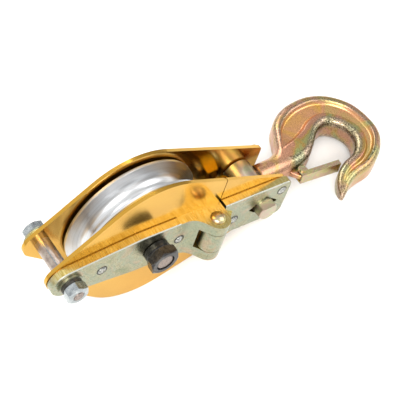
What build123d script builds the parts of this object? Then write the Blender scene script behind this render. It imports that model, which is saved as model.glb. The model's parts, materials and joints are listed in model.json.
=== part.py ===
from build123d import *
import math
import os

# Opening pulley block with a swivel hook: a grooved sheave between two cheek plates,
# a load strap on each cheek, a hinged gate on the near side and a crosshead that carries the hook.
# Block axes while building: X towards the hook, Y towards the far cheek, Z up, origin on the axle
# at the middle of the sheave. At the end the whole block is turned to the way it lies at rest.

# ---- driving dimensions, mm ----
sheave_diameter = 120.0
sheave_width = 26.2
sheave_offset = 0.7         # the wheel sits towards the far cheek, clear of the gate's swinging edge
sheave_radius = sheave_diameter / 2
groove_depth = 14.5
groove_bottom_radius = sheave_radius - groove_depth
groove_root_radius = 7.8
rim_land = 3.0
rim_inner_radius = sheave_radius - 21.0
hub_outer_radius = 31.0
web_thickness = 10.0

cheek_gap = 31.2            # clear width between the cheek plates
plate_thickness = 3.2
plate_arc_radius = sheave_radius + 5.7
plate_tail_x = -(sheave_radius + 21.2)        # centre of the rounded tail
plate_tail_radius = 14.0
trunnion_x = sheave_radius + 49.5
plate_nose_x = trunnion_x + 23.5        # straight end on the hook side
plate_nose_half_height = 19.4
plate_corner_radius = 3.0

strap_thickness = 7.4
strap_half_width = 21.0
strap_tail_x = plate_tail_x + 0.7
strap_tail_radius = 14.0
strap_shoulder_x = -15.0    # where the strap reaches its full width
strap_nose_x = plate_nose_x + 2.0
strap_corner_radius = 6.0
strap_chamfer = 0.8
far_strap_thickness = 4.6   # the far strap is a lighter bar than the near ones
far_strap_half_width = 16.2
far_strap_tail_radius = 10.8

axle_radius = 10.0
axle_stub_radius = 8.0
axle_stub_length = 25.0
axle_head_radius = 14.0
axle_head_height = 5.0
axle_nut_across_flats = 24.0
axle_nut_height = 8.8
axle_nut_collar_radius = 11.3
axle_nut_collar_height = 5.4
axle_nut_neck = 0.8

bearing_outer_radius = 23.5
bearing_width = 14.0
bearing_pitch_radius = 16.8
ball_radius = 3.95
ball_count = 8
race_clearance = 0.1
inner_ring_outer_radius = 14.2
outer_ring_inner_radius = 19.5
cage_thickness = 1.8
cage_width = 10.6
circlip_thickness = 1.5
circlip_height = 3.0
circlip_opening = 12.0
axle_spacer_radius = 13.0

bolt_x = plate_tail_x + 2.6              # clamp bolt at the tail
bolt_radius = 5.0
bolt_across_flats = 17.0
bolt_head_height = 6.8
bolt_nut_height = 8.2
bolt_end_stand_out = 0.6
washer_radius = 10.5
washer_thickness = 1.9
head_washer_thickness = 1.2
spring_washer_radius = 8.9
spring_washer_thickness = 2.7
spring_washer_split = 1.6
tube_radius = 6.6
tube_wall = 1.3
tube_seam = 1.0

hinge_x = sheave_radius - 9.0
hinge_stand_off = 14.3      # hinge axis outside the cheek plate's outer face
knuckle_radius = 10.8
knuckle_sweep_start_x = hinge_x - 26.0
hinge_pin_radius = 3.6
hinge_head_radius = 5.4
hinge_head_height = 3.4
hinge_tail_head_height = 2.0
knuckle_slot_half_height = 11.0
knuckle_slot_x = hinge_x - 14.7
seam_gate_x = hinge_x + 11.7
seam_fixed_x = seam_gate_x + 0.7
fixed_strap_start_x = seam_fixed_x + 1.1
seam_bevel = 1.5

rivet_radius = 2.9
rivet_head_radius = 4.0
rivet_head_height = 1.6
rivet_proud = 0.3
rivet_set_back = 0.2
gate_rivet_places = [(-(sheave_radius - 10.0), 0.0), (hinge_x - 28.0, 0.0)]
nose_rivet_places = [(trunnion_x - 30.1, -4.0), (trunnion_x + 16.5, 11.5)]

trunnion_radius = 8.9
trunnion_stand_out = 8.4
trunnion_flat_height = 6.4
trunnion_flat_start = 1.6
trunnion_hole_half_length = 15.5
crosshead_radius = 13.5
crosshead_flat = 12.0
crosshead_end_play = 0.4

hook_neck_radius = 10.5
hook_shank_radius = 8.0
hook_shank_end = -32.0      # measured from the crosshead's axis
hook_neck_start = 12.4
hook_nut_across_flats = 24.0
hook_nut_height = 13.0
hook_nut_pin_radius = 2.0
thrust_washer_radius = 12.5
thrust_washer_thickness = 2.4
bowl_centre_x = 88.8
bowl_centre_y = -4.5
bowl_radius = 20.5
# bar of the hook: inner point, outer point, half thickness, corner radius
hook_sections = [
    ((33.0, -10.3), (33.0, 10.3), 10.0, 8.5),
    ((43.0, -10.2), (40.5, 14.4), 10.6, 8.0),
    ((53.0, -9.4), (46.6, 24.6), 11.4, 6.5),
    ((63.5, -6.0), (53.6, 35.9), 12.0, 5.5),
    ((74.5, 2.4), (66.0, 44.5), 12.0, 5.0),
    ((84.5, 11.2), (81.0, 48.4), 12.0, 5.0),
    ((96.0, 14.4), (100.8, 47.6), 12.0, 5.0),
    ((104.4, 8.8), (119.4, 37.8), 12.0, 5.0),
    ((108.9, -0.2), (133.0, 18.6), 12.0, 5.0),
    ((108.8, -9.2), (135.8, -9.6), 12.0, 5.0),
    ((103.6, -18.6), (125.2, -28.6), 12.0, 5.0),
    ((95.4, -24.0), (106.4, -40.6), 11.5, 4.8),
    ((86.6, -26.0), (89.6, -43.2), 10.6, 4.6),
    ((77.4, -30.6), (81.6, -45.0), 9.4, 4.2),
    ((70.6, -37.0), (75.6, -47.6), 8.2, 3.4),
    ((66.2, -43.4), (70.4, -51.0), 6.8, 2.8),
    ((63.8, -49.6), (66.6, -53.0), 4.4, 1.6),
]
hook_reach = 136.6          # from the crosshead's axis to the outside of the bowl
hook_half_thickness = 12.0
hook_edge_radius = 5.0
recess_depth = 2.4
lug_thickness = 5.4
lug_radius = 4.6
lug_root = [(55.0, -6.0, 2.0), (41.0, -6.0, 3.0)]      # where the lug grows out of the bar
lug_offset = -1.4           # lug sits to one side of the mid plane to leave room for the spring

latch_pivot_x = 49.6
latch_pivot_y = -14.8
latch_sheet = 1.2
latch_half_height = 5.6
latch_length = 35.2
latch_slope = -7.5          # degrees from the shank's direction
latch_web_offset = 6.2
latch_ear_radius = 4.2
latch_flange_depth = 4.6
latch_pin_radius = 2.0
latch_pin_head_radius = 3.1
latch_pin_head_height = 1.0
spring_wire_radius = 0.4
spring_leg_radius = 0.46
spring_coil_radius = 2.75
spring_turns = 3
spring_pitch = 0.72

running_clearance = 0.1     # radial, pins and journals
joint_gap = 0.3             # between pieces that move past each other
face_gap = 0.2              # flat faces that part when the gate opens
block_pitch = 16.5          # degrees, nose down, as the block lies on its cheek plates

# ---- sizes that follow ----
half_gap = cheek_gap / 2
plate_out = half_gap + plate_thickness
strap_out = plate_out + strap_thickness
hinge_y = -(plate_out + hinge_stand_off)
far_strap_out = plate_out + far_strap_thickness
axle_end = -(half_gap + axle_stub_length)
inner_face_offset = hinge_stand_off + plate_thickness


def hook_angle():
    """Slope of the shank when the hook's outer end lies on the surface under the cheek plates."""
    pitch = math.radians(block_pitch)
    reach = hook_reach - hook_edge_radius
    depth = hook_half_thickness - hook_edge_radius
    drop = plate_arc_radius - trunnion_x * math.sin(pitch) - hook_edge_radius
    slope = math.asin(drop / math.hypot(reach, depth)) - math.atan2(depth, reach)
    return math.degrees(slope)


hook_tilt = block_pitch - hook_angle()      # nose-up angle of the shank within the block


# ---- helpers ----
def closed_face(*lines):
    """Face inside a closed run of lines, arcs and curves."""
    return make_face([edge for line in lines for edge in line.edges()])


def hull_outline(circles):
    """Face bounded by the tight loop round circles (x, y, radius) given counter-clockwise."""
    normals = []
    for (x1, y1, r1), (x2, y2, r2) in zip(circles, circles[1:] + circles[:1]):
        heading = math.atan2(y2 - y1, x2 - x1)
        normals.append(heading - math.acos((r1 - r2) / math.hypot(x2 - x1, y2 - y1)))
    edges = []
    for index, (x, y, r) in enumerate(circles):
        x2, y2, r2 = circles[(index + 1) % len(circles)]
        arrive = normals[index - 1]
        leave = normals[index]
        middle = arrive + ((leave - arrive) % (2 * math.pi)) / 2
        stops = [(x + r * math.cos(a), y + r * math.sin(a)) for a in (arrive, middle, leave)]
        edges.append(ThreePointArc(*stops))
        landing = (x2 + r2 * math.cos(leave), y2 + r2 * math.sin(leave))
        edges.append(Line(stops[2], landing))
    return closed_face(*edges)


def slab(face, y_from, y_to):
    """Extrude an outline drawn in X and Z between two Y stations."""
    plane = Plane.XZ.offset(-y_to)
    return extrude(plane * face, amount=y_to - y_from)


def along_y(shape):
    """Turn a shape built along Z so that its Z becomes Y."""
    return Rot(-90, 0, 0) * shape


def along_x(shape):
    """Turn a shape built along Z so that its Z becomes X."""
    return Rot(0, 90, 0) * shape


def ring(outer, inner, low, high):
    """Plain ring about Z between two heights; inner 0 gives a disc."""
    body = Pos(0, 0, (low + high) / 2) * Cylinder(outer, high - low)
    if inner > 0:
        body -= Pos(0, 0, (low + high) / 2) * Cylinder(inner, high - low + 2)
    return body


def turned(points):
    """Solid of revolution about Z from (radius, height) points."""
    profile = make_face(Polyline(*points, close=True))
    return revolve(Plane.XZ * profile, Axis.Z)


def hexagon_prism(across_flats, low, high, chamfer_low=True, chamfer_high=True):
    """Hexagon about Z with the usual 30 degree chamfer on its corners."""
    prism = Pos(0, 0, low) * extrude(RegularPolygon(across_flats / 2, 6, major_radius=False), high - low)
    corner = across_flats / math.sqrt(3) + 0.01
    face_radius = across_flats / 2 * 0.95
    rise = (corner - face_radius) * math.tan(math.radians(30))
    low_edge = [(face_radius, low), (corner, low + rise)] if chamfer_low else [(corner, low)]
    high_edge = [(corner, high - rise), (face_radius, high)] if chamfer_high else [(corner, high)]
    return prism & turned([(0, low)] + low_edge + high_edge + [(0, high)])


def swing_relief(x, radius, stand_off):
    """How far a hole in the gate must grow towards the hinge to swing off a fixed stud."""
    lever = hinge_x - x - radius
    return lever - math.sqrt(lever ** 2 - stand_off ** 2)


def gate_hole(x, radius, stand_off, y_from, y_to):
    """Hole lengthened towards the hinge by the gate's swing."""
    relief = swing_relief(x, radius, stand_off)
    reach = radius + running_clearance + joint_gap
    face = hull_outline([(x, 0, reach), (x + relief, 0, reach)])
    return slab(face, y_from, y_to)


def trunnion_hole(y_from, y_to):
    """Diamond hole whose four sides just clear the round trunnion."""
    clear = trunnion_radius + 0.15
    half_height = clear / math.sqrt(1 - (clear / trunnion_hole_half_length) ** 2)
    half_length = trunnion_hole_half_length
    tips = [(half_length, 0), (0, half_height), (-half_length, 0), (0, -half_height)]
    corner = 1.0
    shrink = 1 - corner / clear
    circles = [(trunnion_x + shrink * x, shrink * z, corner) for x, z in tips]
    return slab(hull_outline(circles), y_from, y_to)


# ---- outlines shared by both cheeks ----
def plate_outline():
    corner = plate_corner_radius
    nose = plate_nose_x - corner
    height = plate_nose_half_height - corner
    return hull_outline([
        (plate_tail_x, 0, plate_tail_radius),
        (0, 0, plate_arc_radius),
        (nose, -height, corner),
        (nose, height, corner),
        (0, 0, plate_arc_radius),
    ])


def strap_outline(half_width, tail_radius, inset=0.0):
    """Flat bar tapering to a round tail; inset draws the same outline smaller all round."""
    corner = strap_corner_radius - inset
    nose = strap_nose_x - strap_corner_radius
    height = half_width - strap_corner_radius
    return hull_outline([
        (strap_tail_x, 0, tail_radius - inset),
        (strap_shoulder_x, 0, half_width - inset),
        (nose, -height, corner),
        (nose, height, corner),
        (strap_shoulder_x, 0, half_width - inset),
    ])


def strap_bar(half_width, tail_radius, thickness):
    """Strap on the far side, with both of its rims broken by the same small chamfer."""
    out = plate_out + thickness
    inner = plate_out + strap_chamfer
    outer = out - strap_chamfer
    full = strap_outline(half_width, tail_radius)
    small = strap_outline(half_width, tail_radius, strap_chamfer)
    seat_rim = loft([Plane.XZ.offset(-plate_out) * small, Plane.XZ.offset(-inner) * full], ruled=True)
    outer_rim = loft([Plane.XZ.offset(-outer) * full, Plane.XZ.offset(-out) * small], ruled=True)
    return slab(full, inner, outer) + seat_rim + outer_rim


def half_space_x(x_from, x_to, y_from, y_to):
    """Block that keeps or cuts everything between two X stations."""
    height = 2 * plate_arc_radius + 10
    return Pos((x_from + x_to) / 2, (y_from + y_to) / 2, 0) * Box(x_to - x_from, y_to - y_from, height)


# ---- sheave and bearing ----
def make_sheave():
    half = sheave_width / 2
    centre = groove_bottom_radius + groove_root_radius
    lip = half - rim_land
    span = math.hypot(sheave_radius - centre, lip)
    turn = math.atan2(lip, sheave_radius - centre) + math.acos(groove_root_radius / span)
    touch = (centre + groove_root_radius * math.cos(turn), groove_root_radius * math.sin(turn))
    edge = 1.0
    web = web_thickness / 2
    shoulder = bearing_outer_radius - 2.5
    seat = bearing_outer_radius + 0.05
    clip_low = bearing_width / 2 + 0.1
    clip_high = clip_low + circlip_thickness + 0.1
    side = [(sheave_radius - edge, half), (rim_inner_radius, half), (rim_inner_radius - 2, web)]
    hub = [(hub_outer_radius + 2, web), (hub_outer_radius, half)]
    edges = [
        Line((sheave_radius, -lip), (touch[0], -touch[1])),
        ThreePointArc((touch[0], -touch[1]), (groove_bottom_radius, 0), touch),
        Line(touch, (sheave_radius, lip)),
        Line((sheave_radius, lip), (sheave_radius, half - edge)),
        Polyline((sheave_radius, half - edge), *side, *hub, (seat, half), (seat, clip_high),
                 (seat + 1.3, clip_high), (seat + 1.3, clip_low), (seat, clip_low),
                 (seat, -bearing_width / 2), (shoulder, -bearing_width / 2), (shoulder, -half),
                 *[(r, -h) for r, h in reversed(side + hub)],
                 (sheave_radius, -(half - edge))),
        Line((sheave_radius, -(half - edge)), (sheave_radius, -lip)),
    ]
    return along_y(revolve(Plane.XZ * closed_face(*edges), Axis.Z))


def bearing_ring(outer, inner):
    half = bearing_width / 2
    body = ring(outer, inner, -half, half)
    race = Pos(bearing_pitch_radius, 0) * Circle(ball_radius + race_clearance)
    body -= revolve(Plane.XZ * race, Axis.Z)
    return along_y(body)


def ball_places():
    step = 2 * math.pi / ball_count
    return [(bearing_pitch_radius * math.cos(i * step), bearing_pitch_radius * math.sin(i * step))
            for i in range(ball_count)]


def make_balls():
    return [Pos(x, 0, z) * Sphere(ball_radius) for x, z in ball_places()]


def make_cage():
    half = cage_width / 2
    inner = bearing_pitch_radius - cage_thickness / 2
    body = along_y(ring(inner + cage_thickness, inner, -half, half))
    for x, z in ball_places():
        body -= Pos(x, 0, z) * Sphere(ball_radius + 0.2)
    return body


def make_circlip():
    low = bearing_width / 2 + 0.15
    outer = bearing_outer_radius + 1.1
    body = ring(outer, outer - circlip_height, low, low + circlip_thickness)
    body -= Pos(0, -outer, low) * Box(circlip_opening, circlip_height * 3, 2 * circlip_thickness + 2)
    return along_y(body)


# ---- axle ----
def make_axle():
    chamfer_size = 1.2
    shoulder = -(half_gap - face_gap)
    head_end = far_strap_out + axle_head_height
    return along_y(turned([
        (0, axle_end), (axle_stub_radius - chamfer_size, axle_end),
        (axle_stub_radius, axle_end + chamfer_size), (axle_stub_radius, shoulder),
        (axle_radius, shoulder), (axle_radius, far_strap_out), (axle_head_radius, far_strap_out),
        (axle_head_radius, head_end - chamfer_size), (axle_head_radius - chamfer_size, head_end),
        (0, head_end),
    ]))


def make_axle_spacer(low, high):
    return along_y(ring(axle_spacer_radius, axle_radius + 0.05, low, high))


def make_axle_nut():
    seat = -(strap_out + face_gap)
    neck = seat - axle_nut_collar_height
    near = neck - axle_nut_neck
    edge = 0.6
    round_radius = axle_nut_collar_radius
    collar = turned([(0, seat), (round_radius - edge, seat), (round_radius, seat - edge),
                     (round_radius, neck + edge), (round_radius - edge, neck),
                     (round_radius - 1, near - 1), (0, near - 1)])
    body = collar + hexagon_prism(axle_nut_across_flats, near - axle_nut_height, near)
    body -= ring(axle_stub_radius + running_clearance, 0, near - axle_nut_height - 1, seat + 1)
    return along_y(Rot(0, 0, 12) * body)


# ---- cheek plates and straps ----
def rivet_holes(places, side, out):
    """Straight holes through plate and strap with a countersink in the strap's outer face at out."""
    cutters = []
    clear = running_clearance
    sink_end = out - rivet_head_height - clear
    mouth = rivet_head_radius + 2 * clear
    for x, z in places:
        hole = ring(rivet_radius + clear, 0, half_gap - 1, out + 1)
        sink = turned([(0, sink_end), (rivet_radius + clear, sink_end), (mouth, out), (mouth, out + 1),
                       (0, out + 1)])
        cutters.append(Pos(x, 0, z) * face_side(side) * along_y(hole + sink))
    return cutters


def make_rivets(places, side, out):
    rivets = []
    inner_end = half_gap + rivet_set_back
    for x, z in places:
        body = turned([(0, inner_end), (rivet_radius, inner_end), (rivet_radius, out - rivet_head_height),
                       (rivet_head_radius, out), (rivet_head_radius - 0.4, out + rivet_proud),
                       (0, out + rivet_proud)])
        rivets.append(Pos(x, 0, z) * face_side(side) * along_y(Rot(0, 0, 40) * body))
    return rivets


def face_side(side):
    """Turn that sends +Y to the far cheek for 1 or to the near cheek for -1."""
    return Rot(0 if side > 0 else 180, 0, 0)


def cut_all(body, cutters):
    for cutter in cutters:
        body -= cutter
    return body


def make_far_plate():
    body = slab(plate_outline(), half_gap, plate_out)
    body -= along_y(ring(axle_radius + 0.05, 0, 0, plate_out + 1))
    body -= Pos(bolt_x, 0, 0) * along_y(ring(bolt_radius + running_clearance, 0, 0, plate_out + 1))
    body -= trunnion_hole(half_gap - 1, plate_out + 1)
    return cut_all(body, rivet_holes(gate_rivet_places, 1, far_strap_out))


def make_far_strap():
    body = strap_bar(far_strap_half_width, far_strap_tail_radius, far_strap_thickness)
    body -= along_y(ring(axle_radius + 0.05, 0, 0, far_strap_out + 1))
    body -= Pos(bolt_x, 0, 0) * along_y(ring(bolt_radius + running_clearance, 0, 0, far_strap_out + 1))
    body -= trunnion_hole(plate_out - 1, far_strap_out + 1)
    return cut_all(body, rivet_holes(gate_rivet_places, 1, far_strap_out))


def make_gate_plate():
    body = slab(plate_outline(), -plate_out, -half_gap)
    body &= half_space_x(-2 * plate_arc_radius, seam_gate_x, -plate_out - 1, -half_gap + 1)
    bevel = Pos(seam_gate_x, -half_gap, 0) * Rot(0, 0, 45) * Box(
        seam_bevel * math.sqrt(2), seam_bevel * math.sqrt(2), 2 * plate_arc_radius + 10)
    body -= bevel
    body -= gate_hole(0, axle_stub_radius, inner_face_offset, -plate_out - 1, -half_gap + 1)
    body -= gate_hole(bolt_x, bolt_radius, inner_face_offset, -plate_out - 1, -half_gap + 1)
    return cut_all(body, rivet_holes(gate_rivet_places, -1, strap_out))


def make_fixed_plate():
    body = slab(plate_outline(), -plate_out, -half_gap)
    body &= half_space_x(seam_fixed_x, 2 * plate_nose_x, -plate_out - 1, -half_gap + 1)
    body -= trunnion_hole(-plate_out - 1, -half_gap + 1)
    return cut_all(body, rivet_holes(nose_rivet_places, -1, strap_out))


def knuckle_profile():
    """Plan of the gate strap's hinge end: the flat bar sweeps out into a thick rounded knuckle."""
    bar = -strap_out
    right = hinge_x + knuckle_radius
    start = (knuckle_sweep_start_x, bar)
    landing_angle = math.radians(216)
    landing = (hinge_x + knuckle_radius * math.cos(landing_angle),
               hinge_y + knuckle_radius * math.sin(landing_angle))
    slope = (math.sin(math.radians(36)), -math.cos(math.radians(36)))
    sweep_curve = Spline(start, landing, tangents=[(1, 0), slope])
    nose = ThreePointArc(landing, (hinge_x, hinge_y - knuckle_radius), (right, hinge_y))
    return closed_face(
        sweep_curve, nose,
        Line((right, hinge_y), (right, -plate_out)),
        Line((right, -plate_out), (knuckle_sweep_start_x - 5, -plate_out)),
        Line((knuckle_sweep_start_x - 5, -plate_out), (knuckle_sweep_start_x - 5, bar)),
        Line((knuckle_sweep_start_x - 5, bar), start),
    )


def make_gate_strap():
    body = mirror(strap_bar(strap_half_width, strap_tail_radius, strap_thickness), Plane.XZ)
    body &= half_space_x(-2 * plate_arc_radius, hinge_x, -strap_out - 1, -plate_out + 1)
    body += Pos(0, 0, -strap_half_width) * extrude(knuckle_profile(), 2 * strap_half_width)
    slot_height = 2 * knuckle_slot_half_height
    body -= Pos(knuckle_slot_x + 20, hinge_y, 0) * Box(40, 2 * hinge_stand_off, slot_height)
    body -= Pos(hinge_x, hinge_y, 0) * Cylinder(hinge_pin_radius + running_clearance, 3 * strap_half_width)
    strap_reach = hinge_stand_off
    body -= gate_hole(0, axle_stub_radius, strap_reach, -strap_out - 1, -plate_out + 1)
    body -= gate_hole(bolt_x, bolt_radius, strap_reach, -strap_out - 1, -plate_out + 1)
    return cut_all(body, rivet_holes(gate_rivet_places, -1, strap_out))


def make_fixed_strap():
    body = mirror(strap_bar(strap_half_width, strap_tail_radius, strap_thickness), Plane.XZ)
    body &= half_space_x(fixed_strap_start_x, 2 * strap_nose_x, -strap_out - 1, -plate_out + 1)
    body -= trunnion_hole(-strap_out - 1, -plate_out + 1)
    half = knuckle_slot_half_height - 0.5
    outer_touch = (hinge_x + knuckle_radius * math.cos(math.radians(-48)),
                   hinge_y + knuckle_radius * math.sin(math.radians(-48)))
    inner_touch = (hinge_x + knuckle_radius * math.cos(math.radians(75)),
                   hinge_y + knuckle_radius * math.sin(math.radians(75)))
    tongue = make_face(Polyline(
        inner_touch, (hinge_x, hinge_y), outer_touch, (fixed_strap_start_x + 9, -strap_out),
        (fixed_strap_start_x + 9, -plate_out), (fixed_strap_start_x - 0.8, -plate_out), close=True))
    barrel = Pos(hinge_x, hinge_y) * Circle(knuckle_radius)
    body += Pos(0, 0, -half) * extrude(tongue + barrel, 2 * half)
    body -= Pos(hinge_x, hinge_y, 0) * Cylinder(hinge_pin_radius + 0.05, 3 * strap_half_width)
    return cut_all(body, rivet_holes(nose_rivet_places, -1, strap_out))


def make_hinge_pin():
    top = strap_half_width + joint_gap
    low = -strap_half_width - joint_gap
    dome_radius = (hinge_head_radius ** 2 + hinge_head_height ** 2) / (2 * hinge_head_height)
    dome = Pos(0, 0, top + hinge_head_height - dome_radius) * Sphere(dome_radius)
    head = dome & (Pos(0, 0, top + 5) * Cylinder(hinge_head_radius, 10))
    tail_end = low - hinge_tail_head_height
    tail = turned([(0, low), (hinge_head_radius, low), (hinge_head_radius - 0.8, tail_end), (0, tail_end)])
    body = ring(hinge_pin_radius, 0, low - 0.01, top + 0.01) + head + tail
    return Pos(hinge_x, hinge_y, 0) * body


# ---- clamp bolt at the tail ----
def bolt_stack():
    """Y stations outside the near strap: washer, spring washer, nut, bolt end."""
    washer = -(strap_out + face_gap)
    spring = washer - washer_thickness
    nut = spring - spring_washer_thickness
    end = nut - bolt_nut_height
    return washer, spring, nut, end


def make_bottom_bolt():
    end = bolt_stack()[3] - bolt_end_stand_out
    seat = far_strap_out + head_washer_thickness
    shank = turned([(0, end), (bolt_radius - 1, end), (bolt_radius, end + 1), (bolt_radius, seat + 0.01),
                    (0, seat + 0.01)])
    head = Rot(0, 0, 8) * hexagon_prism(bolt_across_flats, seat, seat + bolt_head_height, chamfer_low=False)
    return Pos(bolt_x, 0, 0) * along_y(shank + head)


def make_bolt_head_washer():
    seat = far_strap_out + head_washer_thickness
    body = ring(washer_radius, bolt_radius + running_clearance, far_strap_out, seat)
    return Pos(bolt_x, 0, 0) * along_y(body)


def make_spacer_tube():
    low = -(half_gap - face_gap)
    body = ring(tube_radius, tube_radius - tube_wall, low, half_gap)
    seam = Pos(tube_radius, 0, 0) * Box(2 * tube_radius, tube_seam, 2 * cheek_gap)
    body -= Rot(0, 0, -118) * seam
    return Pos(bolt_x, 0, 0) * along_y(body)


def make_near_washer():
    washer, spring = bolt_stack()[:2]
    return Pos(bolt_x, 0, 0) * along_y(ring(washer_radius, bolt_radius + running_clearance, spring, washer))


def make_spring_washer():
    spring, nut = bolt_stack()[1:3]
    body = ring(spring_washer_radius, bolt_radius + running_clearance, nut, spring)
    cut = Pos(spring_washer_radius, 0, (spring + nut) / 2) * Rot(20, 0, 0) * Box(
        2 * spring_washer_radius - bolt_radius, spring_washer_split, 4 * spring_washer_thickness)
    body -= Rot(0, 0, 150) * cut
    return Pos(bolt_x, 0, 0) * along_y(body)


def make_bottom_nut():
    nut, end = bolt_stack()[2:]
    body = hexagon_prism(bolt_across_flats, end, nut)
    body -= ring(bolt_radius + running_clearance, 0, end - 1, nut + 1)
    return Pos(bolt_x, 0, 0) * along_y(Rot(0, 0, 22) * body)


# ---- crosshead and hook, built about the trunnion axis with X along the shank ----
def make_crosshead():
    half = half_gap - crosshead_end_play
    near_end = strap_out + trunnion_stand_out
    far_end = far_strap_out + trunnion_stand_out
    edge = 1.0
    body = along_y(turned([
        (0, -near_end), (trunnion_radius - edge, -near_end), (trunnion_radius, edge - near_end),
        (trunnion_radius, -half), (crosshead_radius - edge, -half), (crosshead_radius, edge - half),
        (crosshead_radius, half - edge), (crosshead_radius - edge, half), (trunnion_radius, half),
        (trunnion_radius, far_end - edge), (trunnion_radius - edge, far_end), (0, far_end)]))
    for side, out in ((1, far_strap_out), (-1, strap_out)):
        body -= Pos(side * (crosshead_flat + 5), 0, 0) * Box(10, 2 * half - 2, 3 * crosshead_radius)
        flat = Box(3 * trunnion_radius, 20, 10)
        body -= Pos(0, side * (out + trunnion_flat_start + 10), trunnion_flat_height + 5) * flat
    reach = 2 * crosshead_radius
    body -= along_x(ring(hook_shank_radius + running_clearance, 0, -reach, reach))
    return body


def make_thrust_washer():
    far = -(crosshead_flat + 0.05)
    return along_x(ring(thrust_washer_radius, hook_shank_radius + running_clearance,
                        far - thrust_washer_thickness, far))


def hook_nut_span():
    top = -(crosshead_flat + 0.05 + thrust_washer_thickness + joint_gap)
    return top - hook_nut_height, top


def make_hook_nut():
    low, high = hook_nut_span()
    body = hexagon_prism(hook_nut_across_flats, low, high)
    body -= ring(hook_shank_radius + 0.05, 0, low - 1, high + 1)
    body -= Pos(0, 0, (low + high) / 2) * Rot(90, 0, 0) * Cylinder(hook_nut_pin_radius + 0.05, 40)
    return along_x(body)


def make_hook_nut_pin():
    low, high = hook_nut_span()
    length = hook_nut_across_flats + 1
    return Pos((low + high) / 2, 0, 0) * Rot(90, 0, 0) * Cylinder(hook_nut_pin_radius, length)


def bowl_point(angle, radius):
    turn = math.radians(angle)
    return (bowl_centre_x + radius * math.cos(turn), bowl_centre_y + radius * math.sin(turn))


def hook_section(inner, outer, half_thickness, corner):
    """Rounded rectangle standing across the bar between its inner and outer points."""
    middle = ((inner[0] + outer[0]) / 2, (inner[1] + outer[1]) / 2, 0)
    across = (outer[0] - inner[0], outer[1] - inner[1], 0)
    width = math.hypot(across[0], across[1])
    plane = Plane(origin=middle, x_dir=across, z_dir=(-across[1], across[0], 0))
    return plane * RectangleRounded(width, 2 * half_thickness, corner)


def hook_recess():
    """Shallow panel on each face of the bar, following the bowl."""
    inner = bowl_radius + 9.5
    start = bowl_point(100, inner)
    stop = bowl_point(-45, inner)
    rim = [(100, 25.0), (75, 25.5), (52, 25.0), (28, 23.0), (4, 20.0), (-20, 17.0), (-45, 13.0)]
    outer_curve = Spline(*[bowl_point(angle, bowl_radius + out) for angle, out in rim])
    panel = closed_face(
        ThreePointArc(start, bowl_point(28, inner), stop),
        Line(stop, bowl_point(-45, bowl_radius + 13.0)), outer_curve,
        Line(bowl_point(100, bowl_radius + 25.0), start))
    floor = hook_half_thickness - recess_depth
    cutter = extrude(panel, recess_depth + 1)
    return [Pos(0, 0, floor) * cutter, Pos(0, 0, -hook_half_thickness - 1) * cutter]


def make_hook():
    bar = loft([hook_section(*section) for section in hook_sections])
    edge = 1.0
    start = hook_sections[0][0][0]
    shank = along_x(turned([
        (0, hook_shank_end), (hook_shank_radius - edge, hook_shank_end),
        (hook_shank_radius, hook_shank_end + edge), (hook_shank_radius, hook_neck_start),
        (hook_neck_radius - edge, hook_neck_start), (hook_neck_radius, hook_neck_start + edge),
        (hook_neck_radius, start - 4), (hook_neck_radius - 0.6, start + 3), (0, start + 3)]))
    lug = extrude(hull_outline([(latch_pivot_x, latch_pivot_y, lug_radius), *lug_root]), lug_thickness)
    body = bar + shank + Pos(0, 0, lug_offset - lug_thickness / 2) * lug
    body = cut_all(body, hook_recess())
    body -= Pos(latch_pivot_x, latch_pivot_y, 0) * Cylinder(latch_pin_radius + 0.05, 30)
    low, high = hook_nut_span()
    body -= Pos((low + high) / 2, 0, 0) * Rot(90, 0, 0) * Cylinder(hook_nut_pin_radius + 0.05, 40)
    return body


# ---- latch, drawn with X from its pivot to its free end and Y into the bowl ----
def latch_place():
    return Pos(latch_pivot_x, latch_pivot_y, 0) * Rot(0, 0, latch_slope)


def make_latch():
    outer = -latch_web_offset
    start = -3.5
    length = latch_length - start
    middle = (start + latch_length) / 2
    web = Pos(middle, outer + latch_sheet / 2, 0) * Box(length, latch_sheet, 2 * latch_half_height)
    flange = Pos(middle, outer + latch_flange_depth / 2, 0) * Box(length, latch_flange_depth, latch_sheet)
    ear_outline = hull_outline([(start + 1, outer + 1, 1), (-start, outer + 1, 1), (0, 0, latch_ear_radius)])
    ear = extrude(ear_outline, latch_sheet)
    body = web
    for side in (1, -1):
        height = side * (latch_half_height - latch_sheet / 2)
        body += Pos(0, 0, height) * flange
        body += Pos(0, 0, height - latch_sheet / 2) * ear
    body -= Cylinder(latch_pin_radius + running_clearance, 4 * latch_half_height)
    return latch_place() * body


def make_latch_pin():
    half = latch_half_height + joint_gap
    head = ring(latch_pin_head_radius, 0, half, half + latch_pin_head_height)
    body = ring(latch_pin_radius, 0, -half - 0.01, half + 0.01) + head + mirror(head, Plane.XY)
    return latch_place() * body


def make_latch_spring():
    """Close-wound coil as a stack of rings with one leg against the web and one short leg."""
    base = lug_offset + lug_thickness / 2 + joint_gap + spring_wire_radius
    section = Pos(spring_coil_radius, 0) * Circle(spring_wire_radius)
    coil = revolve(Plane.XZ * section, Axis.Z)
    rise = spring_pitch * (spring_turns - 1)
    body = coil
    for turn in range(1, spring_turns):
        body += Pos(0, 0, turn * spring_pitch) * coil
    side = -spring_coil_radius
    rest = latch_sheet + spring_wire_radius + 0.15 - latch_web_offset
    body += leg_between((-0.6, side + 0.1, rise), (14.0, rest, rise))
    body += leg_between((0.6, side + 0.1, 0), (-3.6, side + 0.4, 0))
    return latch_place() * Pos(0, 0, base) * body


def leg_between(start, end):
    """Straight piece of spring wire."""
    direction = Vector(*end) - Vector(*start)
    return extrude(Plane(origin=start, z_dir=direction) * Circle(spring_leg_radius), direction.length)


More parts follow.
